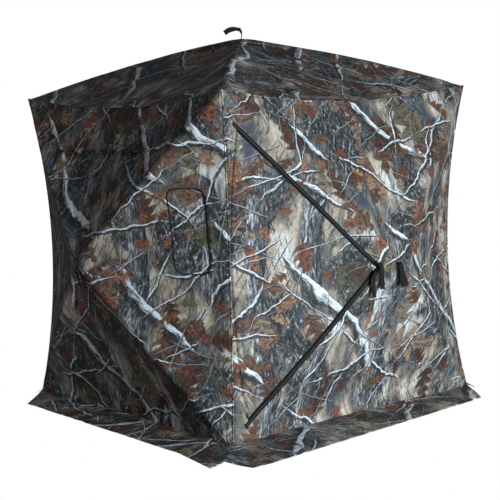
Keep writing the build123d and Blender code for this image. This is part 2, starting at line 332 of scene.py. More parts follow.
def area_of(points):
    return abs(sum(a[0] * b[1] - b[0] * a[1] for a, b in zip(points, points[1:] + points[:1]))) / 2


def new_object(name, points, faces, uvs=None):
    mesh = bpy.data.meshes.new(name)
    mesh.from_pydata(points, [], faces)
    layer = mesh.uv_layers.new(name="cut")
    for loop in mesh.loops:
        layer.data[loop.index].uv = uvs[loop.vertex_index] if uvs else (0, 0)
    mesh.shade_smooth()
    piece = bpy.data.objects.new(name, mesh)
    bpy.context.scene.collection.objects.link(piece)
    return piece


def settle(piece):
    """Applies a piece's modifiers."""
    graph = bpy.context.evaluated_depsgraph_get()
    mesh = bpy.data.meshes.new_from_object(piece.evaluated_get(graph))
    piece.modifiers.clear()
    piece.data = mesh
    return piece


def thicken(piece, thickness, materials):
    """Gives a sheet its thickness, inward, with the second material on its back."""
    for material in materials:
        piece.data.materials.append(material)
    solid = piece.modifiers.new("thickness", "SOLIDIFY")
    solid.thickness, solid.offset = thickness, -1
    solid.material_offset = len(materials) - 1
    return settle(piece)


def patch(name, outline, lay, materials, holes=(), spacing=SPACING, extra=(), shift=(0, 0), thickness=CLOTH,
          flip=False):
    """A sheet cut to an outline in its own flat coordinates, and laid by a function of them."""
    rings = [dense(ring, spacing) for ring in (outline, *holes)]
    fixed = [p for ring in rings for p in ring] + list(extra)
    tree = kdtree.KDTree(len(fixed))
    for i, (x, y) in enumerate(fixed):
        tree.insert((x, y, 0), i)
    tree.balance()
    xs, ys = [p[0] for p in outline], [p[1] for p in outline]
    flat = list(fixed)
    for row in range(int((max(ys) - min(ys)) / (ROW_SHARE * spacing)) + 1):
        y = min(ys) + (row + 0.5) * ROW_SHARE * spacing
        for column in range(int((max(xs) - min(xs)) / spacing) + 1):
            x = min(xs) + (column + 0.5 * (row % 2)) * spacing
            if tree.find((x, y, 0))[2] > 0.6 * spacing:
                flat.append((x, y))
    loops, at = [], 0
    for ring in rings:
        loops.append(list(range(at, at + len(ring))))
        at += len(ring)
    points, _, faces, _, _, found = delaunay_2d_cdt([Vector(p) for p in flat], [], loops, 0, 1e-6, True)
    kept = [f for f, owners in zip(faces, found) if list(owners) == [0]]
    used = sorted({i for f in kept for i in f})
    index = {old: new for new, old in enumerate(used)}
    kept = [[index[i] for i in (reversed(f) if flip else f)] for f in kept]
    points = [points[i] for i in used]
    uvs = [(p.x + shift[0], p.y + shift[1]) for p in points]
    return thicken(new_object(name, [lay(p.x, p.y) for p in points], kept, uvs), thickness, materials)


def smooth_path(points, steps=8):
    """A smooth line through points."""
    points = [Vector(p) for p in points]
    ends = [2 * points[0] - points[1], *points, 2 * points[-1] - points[-2]]
    line = []
    for a, b, c, d in zip(ends, ends[1:], ends[2:], ends[3:]):
        for i in range(steps):
            t = i / steps
            square, cube = 2 * a - 5 * b + 4 * c - d, 3 * b - a - 3 * c + d
            line.append(0.5 * (2 * b + (c - a) * t + square * t ** 2 + cube * t ** 3))
    return [*line, points[-1]]


def sweep(name, line, section, across, materials, scale=None, slots=None, flat=None):
    """A solid drawn along a line. A section's points are (along across, along the normal)."""
    points, faces, uvs, run, count = [], [], [], 0.0, len(section)
    for i, p in enumerate(line):
        ahead = (line[min(i + 1, len(line) - 1)] - line[max(i - 1, 0)]).normalized()
        side = across(i / (len(line) - 1)) if callable(across) else Vector(across)
        side = (side - ahead * side.dot(ahead)).normalized()
        up = ahead.cross(side)
        grow = scale(i / (len(line) - 1)) if scale else 1
        run += (p - line[i - 1]).length if i else 0
        for a, b in section:
            points.append(p + side * a * grow + up * b * grow)
            uvs.append(flat[i] if flat else (a, run))
    for i in range(len(line) - 1):
        for j in range(count):
            k = (j + 1) % count
            faces.append((i * count + j, i * count + k, (i + 1) * count + k, (i + 1) * count + j))
    faces += [tuple(range(count))[::-1], tuple(range((len(line) - 1) * count, len(line) * count))]
    piece = new_object(name, points, faces, uvs)
    for material in materials:
        piece.data.materials.append(material)
    if slots:
        for face in piece.data.polygons:
            share = min(face.vertices) // count / max(1, len(line) - 1)
            face.material_index = slots(share)
    return piece


def circle(radius, count=12):
    angles = (2 * math.pi * i / count for i in range(count))
    return [(radius * math.cos(angle), radius * math.sin(angle)) for angle in angles]


def band(width, thickness):
    """The section of a strap, with rounded edges."""
    w, t = width / 2, thickness / 2
    across = (-w + t, -w / 2, 0, w / 2, w - t)
    return [(-w, 0), *((x, -t) for x in across), (w, 0), *((x, t) for x in reversed(across))]


def join(name, pieces):
    """One piece made of several."""
    bpy.ops.object.select_all(action="DESELECT")
    for piece in pieces:
        piece.select_set(True)
    bpy.context.view_layer.objects.active = pieces[0]
    bpy.ops.object.join()
    pieces[0].name = name
    return pieces[0]


# Materials
class Wire:
    """A value in a material's node tree. Arithmetic on wires makes Math nodes."""

    def __init__(self, tree, socket):
        self.tree, self.socket = tree, socket

    def math(self, operation, *others, clamp=False):
        node = self.tree.nodes.new("ShaderNodeMath")
        node.operation, node.use_clamp = operation, clamp
        for socket, value in zip(node.inputs, (self, *others)):
            feed(self.tree, socket, value)
        return Wire(self.tree, node.outputs[0])

    def __add__(self, other):
        return self.math("ADD", other)

    def __sub__(self, other):
        return self.math("SUBTRACT", other)

    def __mul__(self, other):
        return self.math("MULTIPLY", other)

    def __truediv__(self, other):
        return self.math("DIVIDE", other)

    def soft(self, low, high):
        """0 below low, 1 above high, and smooth between. It falls instead where low is above high."""
        node = self.tree.nodes.new("ShaderNodeMapRange")
        node.interpolation_type = "SMOOTHSTEP"
        feed(self.tree, node.inputs["Value"], self)
        ends = {"From Min": min(low, high), "From Max": max(low, high),
                "To Min": float(low > high), "To Max": float(low <= high)}
        for name, value in ends.items():
            node.inputs[name].default_value = value
        return Wire(self.tree, node.outputs["Result"])


def feed(tree, socket, value):
    if isinstance(value, Wire):
        tree.links.new(value.socket, socket)
    elif value is not None:
        socket.default_value = value


class Paint:
    """A material's node tree, with one short call for each kind of node."""

    def __init__(self, name):
        self.material = bpy.data.materials.new(name)
        self.material.use_nodes = True
        self.tree = self.material.node_tree
        self.shader = self.tree.nodes["Principled BSDF"]

    def node(self, kind, inputs, output=0, **settings):
        """One output of a new node, with wires or values fed to its inputs."""
        node = self.tree.nodes.new("ShaderNode" + kind)
        for name, value in settings.items():
            setattr(node, name, value)
        for name, value in inputs.items():
            feed(self.tree, node.inputs[name], value)
        return Wire(self.tree, node.outputs[output])

    def uv(self):
        return self.node("UVMap", {}, uv_map="cut")

    def world(self):
        return self.node("TexCoord", {}, "Object")

    def moved(self, vector, scale=(1, 1, 1), shift=(0, 0, 0), turn=0.0):
        inputs = {"Vector": vector, "Location": shift, "Rotation": (0, 0, turn), "Scale": scale}
        return self.node("Mapping", inputs)

    def vector_math(self, operation, a, b):
        return self.node("VectorMath", {0: a, 3 if operation == "SCALE" else 1: b}, operation=operation)

    def parts(self, vector):
        return [self.node("SeparateXYZ", {0: vector}, i) for i in range(3)]

    def noise(self, vector, scale, detail=2.0, roughness=0.5, output="Fac"):
        inputs = {"Vector": vector, "Scale": scale, "Detail": detail, "Roughness": roughness}
        return self.node("TexNoise", inputs, output)

    def noise_1d(self, value):
        return self.node("TexNoise", {"W": value, "Scale": 1.0, "Detail": 1.0}, noise_dimensions="1D")

    def noise_at(self, x, y, scale, detail, roughness):
        return self.noise(self.node("CombineXYZ", {0: x, 1: y}), scale, detail, roughness)

    def cells(self, vector, scale, randomness):
        """The place and the colour of the nearest point of a scattered pattern."""
        inputs = {"Vector": vector, "Scale": scale, "Randomness": randomness}
        return [self.node("TexVoronoi", inputs, output) for output in ("Position", "Color")]

    def ramp(self, value, *stops):
        node = self.tree.nodes.new("ShaderNodeValToRGB")
        feed(self.tree, node.inputs[0], value)
        while len(node.color_ramp.elements) < len(stops):
            node.color_ramp.elements.new(0.5)
        for element, (at, colour) in zip(node.color_ramp.elements, stops):
            element.position, element.color = at, (*colour, 1)
        return Wire(self.tree, node.outputs[0])

    def mix(self, share, a, b, kind="MIX"):
        a, b = ((*value, 1) if isinstance(value, tuple) else value for value in (a, b))
        return self.node("Mix", {0: share, 6: a, 7: b}, 2, data_type="RGBA", blend_type=kind)

    def bump(self, value, strength, distance):
        lifted = self.node("Bump", {"Height": value, "Strength": strength, "Distance": distance})
        feed(self.tree, self.shader.inputs["Normal"], lifted)

    def finish(self, colour, roughness=0.7, metallic=0.0, specular=0.35):
        base = (*colour, 1) if isinstance(colour, tuple) else colour
        feed(self.tree, self.shader.inputs["Base Color"], base)
        feed(self.tree, self.shader.inputs["Roughness"], roughness)
        self.shader.inputs["Metallic"].default_value = metallic
        self.shader.inputs["Specular IOR Level"].default_value = specular
        return self.material


SHADE = (0.010, 0.012, 0.015)  # the print's darkest tone


def sticks(paint, where, slope, pitch, half, bend, seed, rate=1.7, ends=(0.46, 0.66)):
    """Sticks in one direction: how far across a stick a point is (-1 to 1), and its place in their run."""
    at = paint.moved(where, shift=(seed, 1.7 * seed, 0), turn=-math.radians(slope))
    run, across, _ = paint.parts(at)
    across = across + (paint.noise(at, 2.4, 1.0) - 0.5) * (2 * bend)
    across = across + (paint.noise(at, 11.0, 2.0) - 0.5) * (0.5 * bend)
    lane = (across / pitch).math("FLOOR")
    chance = paint.node("TexWhiteNoise", {"W": lane + seed}, "Value", noise_dimensions="1D")
    inside = ((across / pitch).math("FRACT") - 0.5 + (chance - 0.5) * 0.5) * pitch
    grown = paint.noise_1d(run * rate + lane * 7.31 + seed).soft(*ends)
    return inside / (grown * half + 0.00015), run, across


def draw_sticks(paint, colour, where, slope, pitch, half, bend, seed, bright=1.0, shadow=0.75, **shape):
    """Lays sticks over a colour: lit on one side, dark on the other, with rough bark."""
    side, run, across = sticks(paint, where, slope, pitch, half, bend, seed, **shape)
    bark = paint.noise_at(run * (0.30 / half), across * (1.3 / half), 1.0, 4.0, 0.7)
    edge = side.math("ABSOLUTE") + (bark - 0.5) * 0.9
    gone = edge.soft(1.0, 0.86)
    dark = (side + 0.5).math("ABSOLUTE").soft(2.0, 1.2) * shadow
    grey, white, pale = (tuple(bright * c for c in tone) for tone in
                         ((0.42, 0.47, 0.52), (0.80, 0.88, 0.95), (0.50, 0.54, 0.58)))
    lit = paint.ramp(side * 0.32 + 0.48 + (bark - 0.5) * 1.9, (0.14, SHADE), (0.34, (0.09, 0.10, 0.11)),
                     (0.48, grey), (0.66, white), (1.0, pale))
    colour = paint.mix(dark, colour, SHADE)
    return paint.mix(gone, colour, lit)


def draw_leaves(paint, colour, where, scale, length, shift, keep, tints, cluster=0.0):
    """Lays lobed leaves over a colour, one in some of the cells of a scattered pattern."""
    at = paint.moved(where, shift=shift)
    point, colours = paint.cells(at, scale, 0.8)
    x, y, _ = paint.parts(paint.vector_math("SUBTRACT", at, point))
    first, second, third = paint.parts(colours)
    angle = first * 6.2832
    cosine, sine = angle.math("COSINE"), angle.math("SINE")
    size = (second * 0.45 + 0.62) * length
    a = (x * cosine + y * sine) / size
    b = ((y * cosine - x * sine) / size + (a * 3.1).math("SINE") * 0.06).math("ABSOLUTE")
    t = (a + 0.5).math("ADD", 0.0, clamp=True)
    body = (t.math("POWER", 0.8) * 3.1416).math("SINE").math("POWER", 0.7) * 0.34
    lobes = (((t * 22.0 - b * 11.0).math("SINE") * 0.5) + 0.5).math("POWER", 0.6)
    reach = body * (lobes * 0.78 + 0.22) - b
    inside = reach.soft(0.0, 0.014) * a.math("ABSOLUTE").soft(0.5, 0.48)
    stalk = b.soft(0.016, 0.008) * (a + 0.58).math("ABSOLUTE").soft(0.14, 0.12)
    veins = b.soft(0.024, 0.006) + (t * 28.0 - b * 26.0).math("SINE").soft(0.80, 0.99) * 0.6
    shade = b * 1.5 + 0.38 + veins * 0.35 + (paint.noise(at, 60.0, 5.0, 0.75) - 0.5) * 3.2
    shade = paint.mix(shade, (0.06, 0.06, 0.07), (1.8, 1.7, 1.65))
    leaf = paint.mix(1.0, paint.ramp(third, *tints), shade, "MULTIPLY")
    chosen = (third * 7.31 + second * 3.7).math("FRACT").soft(keep, keep - 0.02)
    if cluster:
        chosen = chosen * paint.noise(at, cluster, 0.0).soft(0.50, 0.53)
    edge = (reach + 0.05).soft(0.0, 0.04) * a.math("ABSOLUTE").soft(0.56, 0.5)
    colour = paint.mix(edge * chosen * 0.75, colour, (0.010, 0.012, 0.013))
    return paint.mix(inside.math("MAXIMUM", stalk) * chosen, colour, leaf)


BROWN = ((0.0, (0.040, 0.022, 0.017)), (0.35, (0.080, 0.043, 0.032)), (0.6, (0.125, 0.078, 0.056)),
         (0.8, (0.20, 0.16, 0.12)), (1.0, (0.035, 0.050, 0.030)))
RUST = ((0.0, (0.050, 0.024, 0.018)), (0.4, (0.115, 0.048, 0.030)), (0.70, (0.21, 0.090, 0.052)),
        (0.85, (0.26, 0.19, 0.13)), (1.0, (0.045, 0.070, 0.030)))
# The print's thin sticks and its branches: slope in degrees, pitch, half width, bend, and seed
TWIGS = ((72, 0.13, 0.0024, 0.05, 1.9), (24, 0.12, 0.0022, 0.06, 8.2), (-25, 0.15, 0.0024, 0.05, 3.3))
BRANCHES = ((58, 0.27, 0.0052, 0.10, 4.4), (10, 0.30, 0.0058, 0.09, 6.7), (-36, 0.36, 0.0065, 0.09, 9.9),
            (35, 0.22, 0.0040, 0.10, 7.5))


def woodland(paint, where):
    """A generic woodland print in metres: a blurred wood, trunks, pale fallen branches, twigs and leaves."""
    wobble = paint.vector_math("SUBTRACT", paint.noise(where, 6.0, 2.0, output="Color"), (0.5, 0.5, 0.5))
    bent = paint.vector_math("ADD", where, paint.vector_math("SCALE", wobble, 0.03))
    fine = paint.noise(paint.moved(bent, scale=(1.6, 1, 1)), 48.0, 5.0, 0.72) - 0.5
    # A blurred wood behind: pale gaps between upright bands
    broad = paint.noise(paint.moved(bent, scale=(1.7, 1, 1)), 3.4, 3.0, 0.55)
    ground = paint.ramp(broad + fine * 0.30, (0.30, (0.016, 0.024, 0.034)), (0.40, (0.070, 0.090, 0.115)),
                        (0.47, (0.21, 0.19, 0.160)), (0.53, (0.40, 0.34, 0.26)), (0.61, (0.58, 0.56, 0.50)),
                        (0.72, (0.76, 0.90, 1.0)))
    upright = paint.noise(paint.moved(bent, scale=(9, 0.8, 1)), 3.2, 2.0, 0.5)
    ground = paint.mix(upright.soft(0.52, 0.36) * 0.75, ground, (0.050, 0.066, 0.088))
    # Thickets: dark, with pale flecks of bark and litter, and reeds over all
    thick = paint.noise(paint.moved(where, shift=(3.3, 8.1, 0)), 3.6, 3.0, 0.6)
    reeds = []
    for turn in (28, -17):
        leaning = paint.moved(bent, turn=math.radians(turn))
        reeds.append(paint.noise(paint.moved(leaning, scale=(15, 1, 1)), 7.0, 3.0, 0.6))
    flecks = paint.ramp(fine * 0.9 + reeds[0] * 0.35 + 0.32, (0.42, (0.008, 0.011, 0.016)),
                        (0.52, (0.040, 0.048, 0.058)), (0.60, (0.19, 0.19, 0.18)), (0.68, (0.66, 0.80, 0.92)))
    colour = paint.mix((thick + fine * 0.25 + (reeds[1] - 0.5) * 0.35).soft(0.49, 0.55), ground, flecks)
    for reed in reeds:
        colour = paint.mix(reed.soft(0.42, 0.36) * 0.85, colour, (0.018, 0.021, 0.025))
        colour = paint.mix(reed.soft(0.64, 0.70) * 0.6, colour, (0.50, 0.49, 0.44))
    # Standing trunks
    side = sticks(paint, where, 90, 0.34, 0.046, 0.03, 2.3, 1.2, (0.40, 0.46))[0]
    bark = paint.noise(paint.moved(bent, scale=(5.5, 1, 1)), 20.0, 5.0, 0.72)
    trunk = paint.ramp(bark + side * 0.07, (0.38, SHADE), (0.48, (0.055, 0.060, 0.070)),
                       (0.56, (0.17, 0.18, 0.19)), (0.66, (0.55, 0.62, 0.68)))
    colour = paint.mix((side.math("ABSOLUTE") + fine * 0.5).soft(1.0, 0.9), colour, trunk)
    colour = draw_leaves(paint, colour, bent, 3.2, 0.27, (0.7, 0.2, 0), 0.55, BROWN)
    colour = draw_leaves(paint, colour, bent, 5.1, 0.17, (4.7, 1.2, 0), 0.50, BROWN)
    colour = draw_sticks(paint, colour, where, -44, 0.40, 0.019, 0.10, 5.1, rate=1.5, ends=(0.47, 0.52))
    for twig in TWIGS:
        colour = draw_sticks(paint, colour, where, *twig, 0.5, 0.6, rate=3.0)
    colour = draw_leaves(paint, colour, bent, 6.6, 0.130, (2.3, 5.1, 0), 0.52, RUST, 2.4)
    for branch in BRANCHES:
        colour = draw_sticks(paint, colour, where, *branch, 1.05, 0.8, rate=2.3, ends=(0.44, 0.60))
    colour = draw_leaves(paint, colour, bent, 10.5, 0.088, (8.8, 3.3, 0), 0.50, RUST, 3.1)
    grain = paint.noise(where, 170.0, 2.0, 0.7).soft(0.25, 0.75)
    return paint.mix(grain * 0.22, colour, (0.03, 0.03, 0.03))


def weave(paint, where, pitch):
    """The height of a plain weave."""
    x, y, _ = paint.parts(where)
    turn = 6.2832 / pitch
    return (x * turn).math("SINE") * (y * turn).math("SINE")


def print_cloth(name, shift, painted_light=1.0, roughness=0.62):
    paint = Paint(name)
    where = paint.uv()
    colour = woodland(paint, paint.moved(where, shift=shift))
    # This factor scales the whole print's colour: below 1 it paints shade, above 1 it paints light, making lit and
    # shaded copies of one print.
    if painted_light != 1.0:
        colour = paint.mix(1.0, colour, (painted_light, painted_light, painted_light), "MULTIPLY")
    paint.bump(weave(paint, where, 0.0016) + paint.noise(where, 55.0, 3.0) * 1.5, 0.35, 0.0006)
    return paint.finish(colour, paint.noise(where, 30.0, 2.0).soft(0.2, 0.9) * 0.12 + roughness, specular=0.3)


def plain_cloth(name, colour, pitch, depth, roughness=0.8, spread=0.35):
    """A dyed woven material, with uneven colour along its threads, and painted shade that darkens it where the threads
    dip.
    """
    paint = Paint(name)
    where = paint.uv()
    thread = weave(paint, where, pitch)
    tone = paint.noise(where, 90.0, 3.0) * spread + (1 - spread / 2)
    # Painted shade: the colour falls to 0.45 of itself where the weave is low.
    shade = paint.mix(thread.soft(-1.2, 0.9), tuple(0.45 * c for c in colour), colour)
    shade = paint.mix(1.0, shade, paint.mix(tone, (0, 0, 0), (1.2, 1.2, 1.2)), "MULTIPLY")
    paint.bump(thread, 0.6, depth)
    return paint.finish(shade, roughness, specular=0.25)


def hard(name, colour, roughness, metallic=0.0, scratches=0.1, scale=120.0):
    """Moulded plastic, painted or bare metal: uneven gloss, and a fine texture."""
    paint = Paint(name)
    where = paint.world()
    spots = paint.noise(where, scale, 4.0, 0.65)
    wear = paint.noise(where, scale / 9, 2.0)
    shade = paint.mix(spots.soft(0.35, 0.75) * 0.4, colour, tuple(min(1, 1.6 * c + 0.01) for c in colour))
    shade = paint.mix(wear.soft(0.5, 0.8) * 0.3, shade, tuple(0.55 * c for c in colour))
    paint.bump(spots, 0.3, 0.0002)
    return paint.finish(shade, wear * scratches + spots * scratches + roughness, metallic, 0.5)


def fibre_rod(name):
    """Pultruded glass fibre: long streaks along the rod."""
    paint = Paint(name)
    where = paint.uv()
    streak = paint.noise(paint.moved(where, scale=(400, 6, 1)), 1.0, 3.0)
    paint.bump(streak, 0.3, 0.0002)
    colour = paint.ramp(streak, (0.3, (0.035, 0.035, 0.032)), (0.7, (0.10, 0.10, 0.09)))
    return paint.finish(colour, streak * 0.2 + 0.35)


WALL_CLOTH = {w: print_cloth(f"print_{w}", s) for w, s in (
    ("door", (0.31, 0.12, 0)), ("back", (3.4, 1.2, 0)), ("side", (6.1, 2.9, 0)), ("window", (9.3, 4.7, 0)))}
# The roof's print is darkened to 0.8 of the walls': painted shade.
WALL_CLOTH["roof"] = print_cloth("print_roof", (12.6, 7.9, 0), 0.8)
# The screen's print is brightened by 1.15 and the skirts' by 1.35: painted light.
SCREEN = print_cloth("print_screen", (9.3, 4.7, 0), 1.15, 0.75)
SKIRT_CLOTH = print_cloth("print_skirt", (15.2, 1.1, 0), 1.35)
LINING = plain_cloth("black_lining", (0.012, 0.012, 0.013), 0.0016, 0.0002)
WEBBING = plain_cloth("black_webbing", (0.009, 0.009, 0.010), 0.0028, 0.0006)
ZIP_TAPE = plain_cloth("zip_tape_black", (0.007, 0.007, 0.008), 0.0020, 0.0003, 0.9)
POCKET = plain_cloth("pocket_webbing_black", (0.018, 0.018, 0.018), 0.0030, 0.0007)
METAL = hard("zip_metal_black", (0.012, 0.012, 0.013), 0.45, 0.3)
TOGGLE_PLASTIC = hard("toggle_black", (0.014, 0.014, 0.015), 0.38)
HUB_PLASTIC = hard("hub_black", (0.017, 0.017, 0.018), 0.42)
STEEL = hard("steel", (0.46, 0.46, 0.48), 0.28, 1.0)
BRASS = hard("brass", (0.62, 0.44, 0.18), 0.30, 1.0)
ROD = fibre_rod("glass_fibre")


# How a piece follows its hub
def pop(piece, panel, ax, ay):
    """Ties a piece to its panel: still at the edge point (ax, ay), and moving with the hub at the peak."""
    share, rise = POP_SHARE[panel], RISE[panel]
    flat = ax * ax + ay * ay
    up = share * flat / (1 - share * rise)
    reach = POP_REACH * (flat + up * rise) / (flat + up * up)
    start, end = place(panel, ax, ay, 0), place(panel, ax - ax * reach, ay - ay * reach, up * reach)
    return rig.blend(piece, "shell", f"{panel}_hub", start=start, end=end)


def pop_facet(piece, panel, side):
    return pop(piece, panel, *turned(side, edge_shape(panel, side)[0], 0.0))


def declare(piece, size, held, rests_on, cut=None, with_pieces=()):
    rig.sheet(piece, flat=size, held=held, rests_on=rests_on, area=cut, with_pieces=with_pieces)


# The cloth panels
def facet_outline(panel, side):
    reach, half, bow, _ = edge_shape(panel, side)
    count = 2 * math.ceil(half / SPACING)
    edge = []
    for i in range(count + 1):
        v = 2 * i / count - 1
        edge.append(turned(side, reach - bow * (1 - v * v), v * half))
    return [(0.0, 0.0), *edge]


def beside_ridges(panel, side):
    """Points just beside a facet's two ridges, so that the cloth can curve over the rods."""
    reach, half, _, _ = edge_shape(panel, side)
    length = math.hypot(reach, half)
    points = []
    for sign in (-1, 1):
        for off in (0.35 * RIDGE_R, RIDGE_R):
            for i in range(2, int(length / SPACING) - 2):
                t = i * SPACING / length
                out, along = t * reach + off * half / length, sign * (t * half - off * reach / length)
                points.append(turned(side, out, along))
    return points


def lapped(outline, grow):
    """A convex outline moved outward by grow."""
    out, count = [], len(outline)
    middle = (sum(p[0] for p in outline) / count, sum(p[1] for p in outline) / count)
    for before, at, after in zip(outline[-1:] + outline[:-1], outline, outline[1:] + outline[:1]):
        lines = []
        for a, b in ((before, at), (at, after)):
            nx, ny = b[1] - a[1], a[0] - b[0]
            size = math.hypot(nx, ny)
            nx, ny = nx / size, ny / size
            if nx * (a[0] - middle[0]) + ny * (a[1] - middle[1]) < 0:
                nx, ny = -nx, -ny
            lines.append((nx, ny, nx * a[0] + ny * a[1] + grow))
        (a, b, c), (d, e, f) = lines
        det = a * e - b * d
        straight = abs(det) <= 1e-6
        out.append((at[0] + a * grow, at[1] + b * grow) if straight else
                   ((c * e - b * f) / det, (a * f - c * d) / det))
    return out


def rounded(corners, radius, steps=6):
    """A polygon with its corners rounded."""
    out = []
    for before, at, after in zip(corners[-1:] + corners[:-1], corners, corners[1:] + corners[:1]):
        p, a, b = Vector(at), Vector(before) - Vector(at), Vector(after) - Vector(at)
        start, end = p + a.normalized() * radius, p + b.normalized() * radius
        for i in range(steps + 1):
            t = i / steps
            q = start * (1 - t) ** 2 + p * 2 * t * (1 - t) + end * t ** 2
            out.append((q.x, q.y))
    return out


DOOR = [DOOR_TOP, DOOR_FOOT, DOOR_APEX]
WINDOW_BAND = rounded([(BAND_MIDDLE + sign * x, y) for sign, (x, y) in
                       ((1, BAND_TOP), (-1, BAND_TOP), (-1, BAND_FOOT), (1, BAND_FOOT))], 0.012)


def box_outline(centre, size, corner):
    (x, y), (w, h) = centre, (size[0] / 2, size[1] / 2)
    return rounded([(x + w, y + h), (x - w, y + h), (x - w, y - h), (x + w, y - h)], corner)


WINDOW_SLOT = box_outline(SLOT_AT, SLOT_SIZE, SLOT_CORNER)
HOLES = {
    ("door", "left"): lapped(DOOR, -0.006),
    ("window", "top"): WINDOW_BAND,
    ("window", "right"): WINDOW_SLOT,
}


def make_panels():
    for panel in PANELS:
        node = "roof_canopy" if panel == "roof" else f"{panel}_wall"
        for side in WALL_BOWS:
            outline = facet_outline(panel, side)
            holes = [HOLES[panel, side]] if (panel, side) in HOLES else []
            materials = (WALL_CLOTH[panel], LINING)
            cloth = patch(f"{panel}_cloth_{side}", outline, on_cloth(panel), materials, holes,
                          extra=beside_ridges(panel, side))
            pop_facet(cloth, panel, side)
            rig.slot(cloth, "roof_cloth" if panel == "roof" else "wall_cloth")
            if side == "right":
                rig.replaces(cloth, node)
            reach, half, _, _ = edge_shape(panel, side)
            cut = area_of(outline) - sum(area_of(hole) for hole in holes)
            width = reach if cut > 0.31 * 2 * half * reach else cut / (0.6 * 2 * half)
            rod = f"{panel}_rod_upper_{'left' if side == 'left' else 'right'}"
            declare(cloth, (width, 2 * half), "stretched", [rod], cut)


# Seams: a narrow rolled binding along each edge where two panels meet, and along the hem
def edge_line(panel, side):
    """The points of an edge, and its points in the panel's own flat coordinates."""
    reach, half, bow, depth = edge_shape(panel, side)
    line, flat = [], []
    for i in range(61):
        v = i / 30 - 1
        flat.append(turned(side, reach - bow * (1 - v * v), v * half))
        line.append(place(panel, *flat[-1], flare(panel, *flat[-1]) - depth * (1 - v * v)))
    return line, flat


def make_seams():
    for panel in TURN:
        cloth = WALL_CLOTH[panel]
        for name, side in (("corner", "right"), ("eave", "top"), ("hem", "bottom")):
            line, flat = edge_line(panel, side)
            seam = sweep(f"{panel}_{name}_binding", line, circle(0.0030, 8), outward(panel), (cloth,),
                         flat=flat)
            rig.ride(seam, "shell")
            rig.slot(seam, "wall_cloth")


# The door and its zip
def make_door():
    outline = rounded(lapped(DOOR, 0.0), 0.012)
    door = patch("door_flap", outline, on_cloth("door", 0.0030), (WALL_CLOTH["door"], LINING))
    hinge = (DOOR_HINGE_X, 0.0)
    edge = [door_edge("door_flap_tape", -0.007, 0.000, 0.0042, ZIP_TAPE)]
    for piece in (door, *edge):
        start, end = place("door", hinge[0] + 0.002, 0, 0), place("door", hinge[0] + 0.07, 0, 0)
        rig.blend(piece, "door_surround", "door", start=start, end=end)
        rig.slot(piece, "door_cloth" if piece is door else "zip_tape")
    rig.replaces(door, "door_panel")
    declare(door, (0.590, 1.197), "stretched", ["door_zip"], area_of(outline))
    tape = door_edge("door_zip", -0.001, 0.0115, 0.0046, ZIP_TAPE, TAPE_END)
    coil = zip_coil()
    for piece in (tape, coil):
        start, end = place("door", hinge[0] - 0.35, 0, 0), place("door", hinge[0] + 0.47, 0, 0)
        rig.blend(piece, "shell", "door_surround", start=start, end=end)
        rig.slot(piece, "zip_tape")
    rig.replaces(tape, "door_zip_tape")


def run_on(corner, end):
    """A corner on the hinge side, moved along its zip edge to the given x."""
    (ax, ay), (hx, hy) = DOOR_APEX, DOOR_TOP if corner[1] > 0 else DOOR_FOOT
    return end, corner[1] + (end - corner[0]) * (hy - ay) / (hx - ax)


def door_edge(name, inner, outer, lift, material, end=DOOR_HINGE_X):
    """A strip of tape along the two zip edges, between two distances out from the door's edge."""
    near, far = lapped(DOOR, inner), lapped(DOOR, outer)
    (top, foot), (out_top, out_foot) = ([run_on(corner, end) for corner in ring[:2]] for ring in (near, far))
    outline = [top, near[2], foot, out_foot, far[2], out_top]
    return patch(name, outline, on_cloth("door", lift), (material, material), spacing=0.007, thickness=0.0010)


COIL_TEETH = 420            # along each zip edge
COIL_SECTION = ((-0.0028, -0.001), (0.0028, -0.001), (0.0028, 0.0004), (0.0012, 0.0012), (-0.0012, 0.0012),
                (-0.0028, 0.0004))


def zip_coil():
    """The zip's two rows of coils, as a ridge with teeth."""
    pieces = []
    near = lapped(DOOR, 0.0035)
    lay = on_cloth("door", 0.0055)
    for i, end in enumerate((run_on(near[0], TAPE_END), run_on(near[1], TAPE_END))):
        start, count = near[2], COIL_TEETH
        line = []
        for j in range(count + 1):
            t = j / count
            x, y = start[0] + (end[0] - start[0]) * t, start[1] + (end[1] - start[1]) * t
            line.append(lay(x, y))
        pieces.append(sweep(f"coil_{i}", line, COIL_SECTION, Vector((0, 0, 1)), (METAL,),
                            scale=lambda t: 1 + 0.16 * math.cos(math.pi * count * t)))
    return join("door_zip_coil", pieces)


def strap(name, line, width, thickness, across, material=WEBBING, swell=None):
    return sweep(name, line, band(width, thickness), across, (material,), scale=swell)


SLIDER_ARCH = ((-0.009, 0.001), (-0.007, 0.0052), (0, 0.0064), (0.006, 0.0052), (0.008, 0.001))


